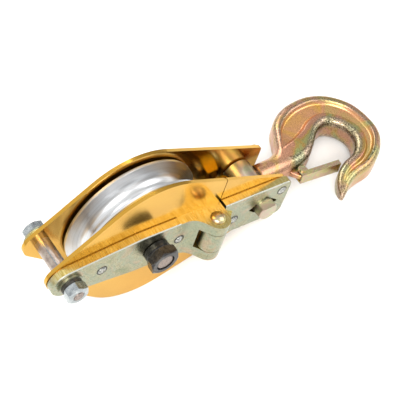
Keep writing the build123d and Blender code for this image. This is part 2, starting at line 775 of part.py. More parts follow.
# ---- assembly ----
def block_pieces():
    wheel = Pos(0, sheave_offset, 0)
    return {
        "far_cheek_plate": make_far_plate(),
        "far_strap": make_far_strap(),
        "far_rivets": make_rivets(gate_rivet_places, 1, far_strap_out),
        "gate_cheek_plate": make_gate_plate(),
        "gate_strap": make_gate_strap(),
        "gate_rivets": make_rivets(gate_rivet_places, -1, strap_out),
        "fixed_cheek_plate": make_fixed_plate(),
        "fixed_strap": make_fixed_strap(),
        "fixed_rivets": make_rivets(nose_rivet_places, -1, strap_out),
        "hinge_pin": make_hinge_pin(),
        "axle": make_axle(),
        "axle_nut": make_axle_nut(),
        "axle_spacer_far": make_axle_spacer(sheave_offset + bearing_width / 2, half_gap),
        "axle_spacer_near": make_axle_spacer(-(half_gap - face_gap), sheave_offset - bearing_width / 2),
        "sheave": wheel * make_sheave(),
        "bearing_outer_race": wheel * bearing_ring(bearing_outer_radius, outer_ring_inner_radius),
        "bearing_inner_race": wheel * bearing_ring(inner_ring_outer_radius, axle_radius + 0.05),
        "bearing_balls": [wheel * ball for ball in make_balls()],
        "bearing_cage": wheel * make_cage(),
        "bearing_circlip": wheel * make_circlip(),
        "clamp_bolt": make_bottom_bolt(),
        "bolt_head_washer": make_bolt_head_washer(),
        "spacer_tube": make_spacer_tube(),
        "bolt_near_washer": make_near_washer(),
        "bolt_spring_washer": make_spring_washer(),
        "bolt_nut": make_bottom_nut(),
    }


def hook_pieces():
    return {
        "crosshead": make_crosshead(),
        "hook": make_hook(),
        "shank_washer": make_thrust_washer(),
        "shank_nut": make_hook_nut(),
        "shank_nut_pin": make_hook_nut_pin(),
        "latch": make_latch(),
        "latch_pin": make_latch_pin(),
        "latch_spring": make_latch_spring(),
    }


def one_shape(shape, pose):
    """Place a piece, or a set of like pieces, as one shape."""
    solids = shape if isinstance(shape, list) else [shape]
    placed = [pose * solid for solid in solids]
    return placed[0] if len(placed) == 1 else Compound(children=placed)


def assemble():
    lie = Rot(0, block_pitch, 0)
    hang = lie * Pos(trunnion_x, 0, 0) * Rot(0, -hook_tilt, 0)
    placed = {name: one_shape(shape, lie) for name, shape in block_pieces().items()}
    placed.update({name: one_shape(shape, hang) for name, shape in hook_pieces().items()})
    return placed


def row_shift(placed):
    """Move that puts the bottom centre of the whole block's bounding box on the origin."""
    boxes = [shape.bounding_box() for shape in placed.values()]
    low = [min(getattr(box.min, axis) for box in boxes) for axis in "XYZ"]
    high = [max(getattr(box.max, axis) for box in boxes) for axis in "XYZ"]
    return (-(low[0] + high[0]) / 2, -(low[1] + high[1]) / 2, -low[2])


if __name__ == "__main__":
    os.makedirs("parts", exist_ok=True)
    placed = assemble()
    shift = row_shift(placed)
    print("axle centre in the row frame", [round(value, 4) for value in shift])
    for name, shape in placed.items():
        export_step(Pos(*shift) * shape, f"parts/{name}.step")
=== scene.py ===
import json
import math
import bmesh
import bpy
from mathutils import Matrix, Vector


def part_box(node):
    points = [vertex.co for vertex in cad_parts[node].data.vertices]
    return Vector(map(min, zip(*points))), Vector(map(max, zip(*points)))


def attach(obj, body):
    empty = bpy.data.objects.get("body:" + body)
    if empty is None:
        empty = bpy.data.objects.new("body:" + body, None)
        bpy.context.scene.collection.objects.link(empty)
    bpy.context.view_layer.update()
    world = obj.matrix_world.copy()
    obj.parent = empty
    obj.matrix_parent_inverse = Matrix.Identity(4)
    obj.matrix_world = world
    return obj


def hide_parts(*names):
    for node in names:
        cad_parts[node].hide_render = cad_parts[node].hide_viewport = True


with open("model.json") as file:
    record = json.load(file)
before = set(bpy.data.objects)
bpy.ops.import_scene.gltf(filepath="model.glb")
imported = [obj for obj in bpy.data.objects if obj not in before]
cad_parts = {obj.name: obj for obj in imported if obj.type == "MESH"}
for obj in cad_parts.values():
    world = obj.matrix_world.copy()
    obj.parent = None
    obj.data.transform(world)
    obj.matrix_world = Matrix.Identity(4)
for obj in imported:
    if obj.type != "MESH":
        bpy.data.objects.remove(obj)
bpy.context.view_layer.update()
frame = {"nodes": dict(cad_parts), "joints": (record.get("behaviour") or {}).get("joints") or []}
scene = bpy.context.scene
nodes = frame["nodes"]
joints = {joint["name"]: joint for joint in frame["joints"]}
print("frame loaded:", len(nodes), "nodes")

# the block's own axes and the hook's own axes, both read from the joints
axle = Vector(joints["sheave_spin"]["pos_m"])
blockUp = Vector(joints["gate_swing"]["axis"]).normalized()
across = Vector((0, 1, 0))
blockAlong = across.cross(blockUp).normalized()
trunnion = Vector(joints["hook_tilt"]["pos_m"])
shankAlong = Vector(joints["hook_swivel"]["axis"]).normalized()
hookUp = shankAlong.cross(across).normalized()
mm = 0.001


def placeFrom(origin, xAxis, yAxis, zAxis):
    return Matrix.Translation(origin) @ Matrix((xAxis, yAxis, zAxis)).transposed().to_4x4()


blockPlace = placeFrom(axle, blockAlong, across, blockUp)
hookPlace = placeFrom(trunnion, shankAlong, across, hookUp)

# long lens, looking down on the near cheek
cameraSettings = {
    "fromAxle": (-0.2230, -0.4234, 0.8340),
    "looking": (0.2850, 0.4270, -0.8583),
    "lens": 108.7, "sensor": 36, "nearClip": 0.01,
}


def addCamera():
    data = bpy.data.cameras.new("camera")
    data.lens = cameraSettings["lens"]
    data.sensor_width = cameraSettings["sensor"]
    data.clip_start = cameraSettings["nearClip"]
    camera = bpy.data.objects.new("camera", data)
    camera.location = axle + Vector(cameraSettings["fromAxle"])
    camera.rotation_euler = Vector(cameraSettings["looking"]).to_track_quat("-Z", "Y").to_euler()
    scene.collection.objects.link(camera)
    scene.camera = camera


addCamera()
print("camera placed")


def srgb(code):
    channels = [int(code[i:i + 2], 16) / 255 for i in (1, 3, 5)]
    return [c / 12.92 if c <= 0.04045 else ((c + 0.055) / 1.055) ** 2.4 for c in channels] + [1]


def addNode(tree, kind, values=None, links=None, **settings):
    node = tree.nodes.new(kind)
    for name, value in settings.items():
        setattr(node, name, value)
    for name, value in (values or {}).items():
        node.inputs[name].default_value = value
    for name, source in (links or {}).items():
        tree.links.new(source, node.inputs[name])
    return node


def setRamp(node, stops):
    ramp = node.color_ramp
    while len(ramp.elements) > 1:
        ramp.elements.remove(ramp.elements[-1])
    ramp.elements[0].position = stops[0][0]
    ramp.elements[0].color = srgb(stops[0][1])
    for place, code in stops[1:]:
        ramp.elements.new(place).color = srgb(code)
    return node


def newMaterial(name):
    material = bpy.data.materials.new(name)
    material.use_nodes = True
    tree = material.node_tree
    tree.nodes.clear()
    shader = addNode(tree, "ShaderNodeBsdfPrincipled")
    addNode(tree, "ShaderNodeOutputMaterial", links={"Surface": shader.outputs[0]})
    return material, tree, shader


def linkShader(tree, shader, tone, rough, bump, metallic=1.0):
    for socket, source in (("Base Color", tone), ("Roughness", rough), ("Normal", bump)):
        tree.links.new(source.outputs[0], shader.inputs[socket])
    shader.inputs["Metallic"].default_value = metallic


def localCoordinates(tree, place):
    # object coordinates turned into the block's or the hook's own axes, in millimetres
    back = place.inverted()
    coords = addNode(tree, "ShaderNodeTexCoord")
    turned = addNode(tree, "ShaderNodeMapping",
                     {"Rotation": back.to_euler(), "Location": back.to_translation()},
                     {"Vector": coords.outputs["Object"]})
    inMm = addNode(tree, "ShaderNodeVectorMath", {1: (1000, 1000, 1000)}, {0: turned.outputs[0]},
                   operation="MULTIPLY")
    return inMm.outputs[0]


def normalAlong(tree, direction):
    # size of the surface normal along one fixed direction, 0 to 1
    coords = addNode(tree, "ShaderNodeTexCoord")
    turned = addNode(tree, "ShaderNodeVectorMath", {1: direction}, {0: coords.outputs["Normal"]},
                     operation="DOT_PRODUCT")
    size = addNode(tree, "ShaderNodeMath", links={0: turned.outputs["Value"]}, operation="ABSOLUTE")
    return size.outputs[0]


# bright gold passivated steel sheet, rolled: glossy, with a cloudy tone and a faint grain along the block,
# drawn coarser than the real one so that it shows
goldPlate = {
    "tones": [(0.3, "#c6973e"), (0.5, "#cb9d42"), (0.75, "#d0a348")],
    "roughness": 0.17, "cloudMm": 30, "grainMm": 0.5, "grainStretch": 0.08, "bump": 0.03,
}


def makeGoldSheet():
    material, tree, shader = newMaterial("goldPassivatedSheet")
    local = localCoordinates(tree, blockPlace)
    cloud = addNode(tree, "ShaderNodeTexNoise", {"Scale": 1 / goldPlate["cloudMm"], "Detail": 3},
                    {"Vector": local})
    tone = setRamp(addNode(tree, "ShaderNodeValToRGB", links={"Fac": cloud.outputs[0]}), goldPlate["tones"])
    stretched = addNode(tree, "ShaderNodeVectorMath", {1: (goldPlate["grainStretch"], 1, 1)}, {0: local},
                        operation="MULTIPLY")
    grain = addNode(tree, "ShaderNodeTexNoise", {"Scale": 1 / goldPlate["grainMm"], "Detail": 2},
                    {"Vector": stretched.outputs[0]})
    rough = addNode(tree, "ShaderNodeMapRange",
                    {"To Min": goldPlate["roughness"] - 0.03, "To Max": goldPlate["roughness"] + 0.04},
                    {"Value": grain.outputs[0]})
    bump = addNode(tree, "ShaderNodeBump", {"Strength": goldPlate["bump"], "Distance": 0.0001},
                   {"Height": grain.outputs[0]})
    linkShader(tree, shader, tone, rough, bump)
    return material


# hot rolled bar, sheared, zinc plated and yellow chromated: grey-green sheen with pink clouds on the flats,
# straw yellow and upright shear marks, drawn coarse to show, on the cut edges, and rims painted pale, partly
# rubbed bright and partly a painted highlight
chromateBar = {
    "flats": [(0.3, "#8c9274"), (0.44, "#a6a286"), (0.54, "#9aa18a"), (0.64, "#b3a28a"), (0.76, "#949974")],
    "speck": [(0.36, "#b4b4b0"), (0.5, "#f0f0ee"), (0.64, "#ffffff")], "speckAmount": 0.8,
    "edges": [(0.3, "#a38c4a"), (0.45, "#bda860"), (0.55, "#c9b878"), (0.7, "#d3cba0")],
    "rim": "#dfe0d4", "patchMm": 17, "shearMm": 0.5, "gritMm": 0.8, "roughness": 0.27, "bump": 0.4,
    "cutFrom": 0.25, "cutTo": 0.75, "rimWearAndHighlightFrom": 0.3, "rimWearAndHighlightTo": 0.42,
}


def makeChromateBar():
    material, tree, shader = newMaterial("yellowChromateBar")
    local = localCoordinates(tree, blockPlace)
    patch = addNode(tree, "ShaderNodeTexNoise",
                    {"Scale": 1 / chromateBar["patchMm"], "Detail": 5, "Distortion": 0.8},
                    {"Vector": local})
    flats = setRamp(addNode(tree, "ShaderNodeValToRGB", links={"Fac": patch.outputs[0]}),
                    chromateBar["flats"])
    sheared = addNode(tree, "ShaderNodeVectorMath", {1: (1, 0.05, 0.5)}, {0: local}, operation="MULTIPLY")
    bands = addNode(tree, "ShaderNodeTexNoise", {"Scale": 1 / chromateBar["shearMm"], "Detail": 3},
                    {"Vector": sheared.outputs[0]})
    edges = setRamp(addNode(tree, "ShaderNodeValToRGB", links={"Fac": bands.outputs[0]}),
                    chromateBar["edges"])
    upward = normalAlong(tree, blockUp)
    cut = addNode(tree, "ShaderNodeMapRange",
                  {"From Min": chromateBar["cutFrom"], "From Max": chromateBar["cutTo"]}, {"Value": upward})
    grit = addNode(tree, "ShaderNodeTexNoise", {"Scale": 1 / chromateBar["gritMm"], "Detail": 3},
                   {"Vector": local})
    speck = setRamp(addNode(tree, "ShaderNodeValToRGB", links={"Fac": grit.outputs[0]}),
                    chromateBar["speck"])
    speckled = addNode(tree, "ShaderNodeMixRGB", {"Fac": chromateBar["speckAmount"]},
                       {"Color1": flats.outputs[0], "Color2": speck.outputs[0]}, blend_type="MULTIPLY")
    sides = addNode(tree, "ShaderNodeMixRGB", links={
        "Fac": cut.outputs[0], "Color1": speckled.outputs[0], "Color2": edges.outputs[0]})
    # the chamfered rims painted pale: partly rubbed bright, partly a painted highlight along the chamfer
    rimWearAndHighlightMask = addNode(tree, "ShaderNodeMath", links={0: upward, 1: normalAlong(tree, across)},
                    operation="MULTIPLY")
    rim = addNode(tree, "ShaderNodeMapRange",
                  {"From Min": chromateBar["rimWearAndHighlightFrom"], "From Max": chromateBar["rimWearAndHighlightTo"]},
                  {"Value": rimWearAndHighlightMask.outputs[0]})
    colour = addNode(tree, "ShaderNodeMixRGB", {"Color2": srgb(chromateBar["rim"])},
                     {"Fac": rim.outputs[0], "Color1": sides.outputs[0]})
    height = addNode(tree, "ShaderNodeMixRGB",
                     links={"Fac": cut.outputs[0], "Color1": grit.outputs[0], "Color2": bands.outputs[0]})
    bump = addNode(tree, "ShaderNodeBump", {"Strength": chromateBar["bump"], "Distance": 0.0003},
                   {"Height": height.outputs[0]})
    rough = addNode(tree, "ShaderNodeMapRange",
                    {"To Min": chromateBar["roughness"] - 0.1, "To Max": chromateBar["roughness"] + 0.12},
                    {"Value": patch.outputs[0]})
    linkShader(tree, shader, colour, rough, bump)
    return material


# turned pieces have fine rings left by the tool, drawn coarse to show
# aluminium, turned and polished: pale and satin
turnedAluminium = {
    "tones": [(0.3, "#bab9b8"), (0.5, "#cccdce"), (0.7, "#d8dadc")], "ringMm": 0.35, "hazeMm": 33.33,
    "roughness": 0.31, "bump": 0.14,
}
# bearing steel, turned and ground: brighter and glossier
groundBearing = {
    "tones": [(0.3, "#a9abae"), (0.7, "#cfd1d4")], "ringMm": 0.4, "hazeMm": 33.33,
    "roughness": 0.2, "bump": 0.14,
}


def makeTurned(name, settings):
    material, tree, shader = newMaterial(name)
    local = localCoordinates(tree, blockPlace)
    parts = addNode(tree, "ShaderNodeSeparateXYZ", links={0: local})
    flat = addNode(tree, "ShaderNodeCombineXYZ", links={"X": parts.outputs["X"], "Y": parts.outputs["Z"]})
    radius = addNode(tree, "ShaderNodeVectorMath", links={0: flat.outputs[0]}, operation="LENGTH")
    rings = addNode(tree, "ShaderNodeCombineXYZ",
                    links={"X": radius.outputs["Value"], "Y": parts.outputs["Y"]})
    marks = addNode(tree, "ShaderNodeTexNoise", {"Scale": 1 / settings["ringMm"], "Detail": 2},
                    {"Vector": rings.outputs[0]})
    haze = addNode(tree, "ShaderNodeTexNoise", {"Scale": 1 / settings["hazeMm"], "Detail": 2},
                   {"Vector": local})
    tone = setRamp(addNode(tree, "ShaderNodeValToRGB", links={"Fac": marks.outputs[0]}), settings["tones"])
    rough = addNode(tree, "ShaderNodeMapRange",
                    {"To Min": settings["roughness"] - 0.04, "To Max": settings["roughness"] + 0.08},
                    {"Value": haze.outputs[0]})
    bump = addNode(tree, "ShaderNodeBump", {"Strength": settings["bump"], "Distance": 0.0001},
                   {"Height": marks.outputs[0]})
    linkShader(tree, shader, tone, rough, bump)
    return material


# small plated or blackened pieces: a cloudy tone and a fine grit, drawn coarse to show
platings = {
    # bright zinc on hexagon bolts and nuts: bluish silver
    "brightZincPlating": {
        "tones": [(0.3, "#8c9294"), (0.55, "#a9afb1"), (0.7, "#bfc4c4")], "cloudMm": 5, "gritMm": 0.6,
        "roughness": 0.27, "spread": 0.08, "bump": 0.3, "metallic": 1.0},
    # black oxide on the axle and its nut: oily near-black
    "blackOxide": {
        "tones": [(0.3, "#2a292a"), (0.7, "#555453")], "cloudMm": 5, "gritMm": 0.6,
        "roughness": 0.28, "spread": 0.1, "bump": 0.4, "metallic": 0.9},
    # yellow chromate on small parts: gold with green and pink interference tints
    "yellowChromate": {
        "tones": [(0.28, "#b3ad6e"), (0.42, "#c2b684"), (0.52, "#bf9e8a"), (0.62, "#b2b286"),
                  (0.75, "#cbbc8a")], "cloudMm": 8, "gritMm": 0.5,
        "roughness": 0.26, "spread": 0.08, "bump": 0.3, "metallic": 1.0},
    # strong straw-yellow chromate on the shank nut
    "strawChromate": {
        "tones": [(0.3, "#b8a838"), (0.7, "#d0c050")], "cloudMm": 6, "gritMm": 0.6,
        "roughness": 0.25, "spread": 0.06, "bump": 0.25, "metallic": 1.0},
    # thin zinc on washers: grey with a green cast
    "greyGreenZinc": {
        "tones": [(0.3, "#7d8272"), (0.5, "#999a86"), (0.7, "#a89c86")], "cloudMm": 4, "gritMm": 0.6,
        "roughness": 0.3, "spread": 0.08, "bump": 0.4, "metallic": 1.0},
    # drawn and rolled tube left nearly bare: warm grey with a pink cast
    "drawnTubeSteel": {
        "tones": [(0.3, "#94837a"), (0.5, "#a89a90"), (0.7, "#b9aea2")], "cloudMm": 4, "gritMm": 0.5,
        "roughness": 0.3, "spread": 0.1, "bump": 0.45, "metallic": 1.0},
    # bare steel of the hammered rivet heads and of the pins: dents that glint
    "hammeredSteel": {
        "tones": [(0.35, "#5d5f5e"), (0.62, "#bdbdb6")], "cloudMm": 1.6, "gritMm": 0.8,
        "roughness": 0.26, "spread": 0.1, "bump": 0.9, "metallic": 1.0},
    # turned crosshead: thin chromate over tool marks, grey with green and pink
    "turnedCrosshead": {
        "tones": [(0.3, "#a5a585"), (0.45, "#b5b192"), (0.55, "#b8a193"), (0.7, "#acae8e")], "cloudMm": 9,
        "gritMm": 0.5, "roughness": 0.34, "spread": 0.08, "bump": 0.4, "metallic": 1.0},
    # blued spring steel: dark and satin
    "darkSpringSteel": {
        "tones": [(0.3, "#3a3835"), (0.7, "#5d5a54")], "cloudMm": 3, "gritMm": 0.6,
        "roughness": 0.35, "spread": 0.08, "bump": 0.4, "metallic": 0.9},
}


def makePlating(name, settings):
    material, tree, shader = newMaterial(name)
    local = localCoordinates(tree, blockPlace)
    cloud = addNode(tree, "ShaderNodeTexNoise",
                    {"Scale": 1 / settings["cloudMm"], "Detail": 4, "Distortion": 0.8}, {"Vector": local})
    tone = setRamp(addNode(tree, "ShaderNodeValToRGB", links={"Fac": cloud.outputs[0]}), settings["tones"])
    grit = addNode(tree, "ShaderNodeTexNoise", {"Scale": 1 / settings["gritMm"], "Detail": 3},
                   {"Vector": local})
    rough = addNode(tree, "ShaderNodeMapRange",
                    {"To Min": settings["roughness"] - settings["spread"],
                     "To Max": settings["roughness"] + settings["spread"]}, {"Value": grit.outputs[0]})
    bump = addNode(tree, "ShaderNodeBump", {"Strength": settings["bump"], "Distance": 0.0002},
                   {"Height": grit.outputs[0]})
    linkShader(tree, shader, tone, rough, bump, settings["metallic"])
    return material


goldSheet = makeGoldSheet()
chromateSteel = makeChromateBar()
aluminium = makeTurned("turnedAluminium", turnedAluminium)
groundSteel = makeTurned("groundBearingSteel", groundBearing)
plated = {name: makePlating(name, settings) for name, settings in platings.items()}

# forged steel, zinc plated and yellow chromated: pink, gold and green bands, a sunk panel painted lighter,
# partly its own pinker tone and partly painted light, and grey grit on the rims, partly worn plating and
# partly painted reflection and highlight
forging = {
    "bands": [(0.3, "#ab8942"), (0.4, "#bc945d"), (0.46, "#c19072"), (0.53, "#bd896e"), (0.59, "#b49251"),
              (0.68, "#9fa26c")],
    "floor": [(0.35, "#dcaa5b"), (0.5, "#d9a077"), (0.65, "#caae6f")],
    "wornAndSheen": [(0.4, "#2c2a26"), (0.5, "#75705f"), (0.6, "#d6d0b8")],
    "bandMm": 34, "gritMm": 0.8, "roughness": 0.27, "bump": 0.4, "leastWearAndSheen": 0.55,
}


def makeForging():
    # attributes on the mesh say how much wear and painted reflection and highlight a place gets and how deep
    # in the sunk panel it lies
    material, tree, shader = newMaterial("forgedYellowChromate")
    local = localCoordinates(tree, hookPlace)
    band = addNode(tree, "ShaderNodeTexNoise",
                   {"Scale": 1 / forging["bandMm"], "Detail": 3, "Distortion": 1.2}, {"Vector": local})
    tone = setRamp(addNode(tree, "ShaderNodeValToRGB", links={"Fac": band.outputs[0]}), forging["bands"])
    # the sunk panel's floor: a pinker tone of its own, painted lighter as painted light
    floor = setRamp(addNode(tree, "ShaderNodeValToRGB", links={"Fac": band.outputs[0]}), forging["floor"])
    panel = addNode(tree, "ShaderNodeAttribute", attribute_name="panel")
    # the bands with the panel floor mixed in, which carries painted light
    chromated = addNode(tree, "ShaderNodeMixRGB", links={
        "Fac": panel.outputs["Fac"], "Color1": tone.outputs[0], "Color2": floor.outputs[0]})
    grit = addNode(tree, "ShaderNodeTexNoise",
                   {"Scale": 1 / forging["gritMm"], "Detail": 2, "Roughness": 0.6}, {"Vector": local})
    # grey grit on the rims, near-black to pale: partly worn plating, partly painted reflection and highlight
    wornAndSheen = setRamp(addNode(tree, "ShaderNodeValToRGB", links={"Fac": grit.outputs[0]}), forging["wornAndSheen"])
    wearAndSheen = addNode(tree, "ShaderNodeAttribute", attribute_name="wearAndSheen")
    breakUp = addNode(tree, "ShaderNodeMapRange",
                      {"From Min": 0.35, "From Max": 0.6, "To Min": 1.0, "To Max": forging["leastWearAndSheen"]},
                      {"Value": grit.outputs[0]})
    amount = addNode(tree, "ShaderNodeMath", links={0: wearAndSheen.outputs["Fac"], 1: breakUp.outputs[0]},
                     operation="MULTIPLY")
    colour = addNode(tree, "ShaderNodeMixRGB", links={
        "Fac": amount.outputs[0], "Color1": chromated.outputs[0], "Color2": wornAndSheen.outputs[0]})
    rough = addNode(tree, "ShaderNodeMapRange",
                    {"From Min": 0.3, "From Max": 0.7, "To Min": forging["roughness"] - 0.08,
                     "To Max": forging["roughness"] + 0.14}, {"Value": grit.outputs[0]})
    bump = addNode(tree, "ShaderNodeBump", {"Strength": forging["bump"], "Distance": 0.0003},
                   {"Height": grit.outputs[0]})
    linkShader(tree, shader, colour, rough, bump)
    return material


forgedChromate = makeForging()
print("materials made")

# threads rolled on the studs outside the near plate, and their bare machined ends with a pinkish grit
studs = {
    "axle": {"node": "axle", "pitchMm": 2.0}, "bolt": {"node": "clamp_bolt", "pitchMm": 1.5},
    "endMm": 0.6, "endBlendMm": 0.05, "threadFromMm": -19, "threadBlendMm": 0.5, "threadBump": 0.8,
    "gritPerMm": 1.5, "ends": [(0.38, "#5c524d"), (0.6, "#a19289")],
}


def makeStud(name, base, stud):
    # the plating of the rest of the piece, with the thread and the bare end added
    material = base.copy()
    material.name = name
    tree = material.node_tree
    shader = next(node for node in tree.nodes if node.type == "BSDF_PRINCIPLED")
    plating = shader.inputs["Base Color"].links[0].from_socket
    grain = shader.inputs["Normal"].links[0].from_socket
    local = localCoordinates(tree, blockPlace)
    parts = addNode(tree, "ShaderNodeSeparateXYZ", links={0: local})
    end = (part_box(stud["node"])[0][1] - axle.y) / mm + studs["endMm"]
    isEnd = addNode(tree, "ShaderNodeMapRange", {"From Min": end + studs["endBlendMm"], "From Max": end},
                    {"Value": parts.outputs["Y"]})
    grit = addNode(tree, "ShaderNodeTexNoise", {"Scale": studs["gritPerMm"], "Detail": 3},
                   {"Vector": local})
    bare = setRamp(addNode(tree, "ShaderNodeValToRGB", links={"Fac": grit.outputs[0]}), studs["ends"])
    colour = addNode(tree, "ShaderNodeMixRGB",
                     links={"Fac": isEnd.outputs[0], "Color1": plating, "Color2": bare.outputs[0]})
    tree.links.new(colour.outputs[0], shader.inputs["Base Color"])
    turns = addNode(tree, "ShaderNodeMath", {1: 2 * math.pi / stud["pitchMm"]}, {0: parts.outputs["Y"]},
                    operation="MULTIPLY")
    wave = addNode(tree, "ShaderNodeMath", links={0: turns.outputs[0]}, operation="SINE")
    start = studs["threadFromMm"]
    threaded = addNode(tree, "ShaderNodeMapRange",
                       {"From Min": start, "From Max": start - studs["threadBlendMm"]},
                       {"Value": parts.outputs["Y"]})
    height = addNode(tree, "ShaderNodeMath", links={0: wave.outputs[0], 1: threaded.outputs[0]},
                     operation="MULTIPLY")
    bump = addNode(tree, "ShaderNodeBump", {"Strength": studs["threadBump"], "Distance": 0.0003},
                   {"Height": height.outputs[0], "Normal": grain})
    tree.links.new(bump.outputs[0], shader.inputs["Normal"])
    return material


axleFinish = makeStud("blackAxleThread", plated["blackOxide"], studs["axle"])
boltFinish = makeStud("zincBoltThread", plated["brightZincPlating"], studs["bolt"])
finishes = {
    goldSheet: ["far_cheek_plate", "gate_cheek_plate", "fixed_cheek_plate"],
    chromateSteel: ["far_strap", "gate_strap", "fixed_strap"],
    plated["hammeredSteel"]: ["far_rivets", "gate_rivets", "fixed_rivets", "shank_nut_pin"],
    plated["blackOxide"]: ["axle_nut", "bearing_circlip"],
    axleFinish: ["axle"],
    boltFinish: ["clamp_bolt"],
    plated["darkSpringSteel"]: ["bolt_spring_washer", "latch_spring"],
    aluminium: ["sheave"],
    groundSteel: ["axle_spacer_far", "axle_spacer_near", "bearing_outer_race", "bearing_inner_race",
                  "bearing_balls"],
    plated["brightZincPlating"]: ["bolt_nut", "shank_washer", "bearing_cage"],
    plated["greyGreenZinc"]: ["bolt_head_washer", "bolt_near_washer"],
    plated["drawnTubeSteel"]: ["spacer_tube"],
    plated["strawChromate"]: ["shank_nut"],
    plated["yellowChromate"]: ["latch", "latch_pin", "hinge_pin"],
    plated["turnedCrosshead"]: ["crosshead"],
    forgedChromate: ["hook"],
}
for finish, names in finishes.items():
    for name in names:
        mesh = nodes[name].data
        mesh.materials.clear()
        mesh.materials.append(finish)
print("finishes put on the machined and stamped pieces")


def addPiece(name, points, faces, place, body, finish, smooth=True):
    # points in millimetres in the block's or the hook's own axes
    mesh = bpy.data.meshes.new(name)
    mesh.from_pydata([place @ (Vector(point) * mm) for point in points], [], faces)
    mesh.materials.append(finish)
    for face in mesh.polygons:
        face.use_smooth = smooth
    piece = bpy.data.objects.new(name, mesh)
    scene.collection.objects.link(piece)
    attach(piece, body)
    return piece


def fixNormals(piece):
    mesh = bmesh.new()
    mesh.from_mesh(piece.data)
    bmesh.ops.remove_doubles(mesh, verts=mesh.verts, dist=1e-6)
    bmesh.ops.recalc_face_normals(mesh, faces=mesh.faces)
    mesh.to_mesh(piece.data)
    mesh.free()


def lathe(outline, turns=48):
    # solid of revolution about X from (x, radius) pairs that start and end on the axis
    points, faces = [], []
    middle = outline[1:-1]
    for x, radius in middle:
        for k in range(turns):
            angle = 2 * math.pi * k / turns
            points.append((x, radius * math.cos(angle), radius * math.sin(angle)))
    for i in range(len(middle) - 1):
        for k in range(turns):
            a, b = i * turns + k, i * turns + (k + 1) % turns
            faces.append((a, b, b + turns, a + turns))
    faces.append(tuple(reversed(range(turns))))
    faces.append(tuple(range((len(middle) - 1) * turns, len(middle) * turns)))
    return points, faces


# the hook is a forged bar with a sunk panel on each face and thick rounded rims
hookShape = {
    # inner point, outer point, half thickness, corner radius, sunk depth, inner rim, outer rim,
    # all in mm from the crosshead's axis
    "sections": [
        ((13.0, -10.4), (13.0, 10.4), 10.4, 10.3, 0, 14, 6),
        ((23.0, -10.4), (23.0, 10.4), 10.3, 10.2, 0, 14, 6),
        ((33.0, -10.3), (33.0, 10.6), 10.2, 9.6, 0, 15, 5),
        ((43.0, -10.2), (40.5, 14.4), 10.7, 8.4, 0, 17, 6),
        ((53.0, -9.4), (46.6, 24.6), 11.4, 6.6, 1.6, 19, 7.6),
        ((63.5, -6.0), (53.6, 35.9), 12.0, 6.0, 3.3, 18, 8),
        ((74.5, 2.4), (66.0, 44.5), 12.0, 5.6, 3.5, 14, 8),
        ((84.5, 11.2), (81.0, 48.4), 12.0, 5.4, 3.5, 11, 7.6),
        ((96.0, 14.4), (100.8, 47.6), 12.0, 5.4, 3.5, 9.5, 7.5),
        ((104.4, 8.8), (119.4, 37.8), 12.0, 5.4, 3.5, 9, 7.5),
        ((108.9, -0.2), (133.0, 18.6), 12.0, 5.4, 3.5, 9, 7.5),
        ((108.8, -9.2), (135.8, -9.6), 12.0, 5.4, 3.4, 9, 7),
        ((103.6, -18.6), (125.2, -28.6), 12.0, 5.2, 3.2, 8.5, 6.5),
        ((95.4, -24.0), (106.4, -40.6), 11.6, 5.0, 2.8, 7.5, 5.5),
        ((86.6, -26.0), (89.6, -43.2), 10.7, 4.6, 2.3, 7, 4.6),
        ((77.4, -30.6), (81.6, -45.0), 9.5, 4.2, 1.6, 6, 4),
        ((70.6, -37.0), (75.6, -47.6), 8.3, 3.4, 0.7, 5, 3.4),
        ((66.2, -43.4), (70.4, -51.0), 6.8, 2.8, 0, 4, 3),
        ((63.8, -49.6), (66.6, -53.0), 4.4, 1.9, 0, 2, 2)],
    "stepsPerSection": 11, "columns": 32, "cornerSteps": 8, "wallSteps": 4,
    # the rim grit's spread and its strength at the tip and the end: partly worn plating, partly painted
    # reflection and highlight
    "slope": 3.2, "wearSpread": 3.4, "ridge": 1.3, "tipWearAndSheen": 0.85, "tipStart": 15.2, "endWearAndSheen": 0.9,
    "tipAhead": (-0.62, -0.78), "tipRings": ((0.86, 0.9), (0.6, 1.6), (0.25, 2.0)),     # shrink, mm ahead
    "shankRadius": 8.0, "shankEnd": -32.0, "shankTop": 14, "shankChamfer": 1,
}


def smoothStep(x):
    x = min(max(x, 0), 1)
    return x * x * (3 - 2 * x)


def catmull(values, place):
    i = min(int(place), len(values) - 2)
    t = place - i
    p0, p1, p2, p3 = values[max(i - 1, 0)], values[i], values[i + 1], values[min(i + 2, len(values) - 1)]
    return 0.5 * (2 * p1 + (p2 - p0) * t + (2 * p0 - 5 * p1 + 4 * p2 - p3) * t * t
                  + (3 * p1 - p0 - 3 * p2 + p3) * t ** 3)


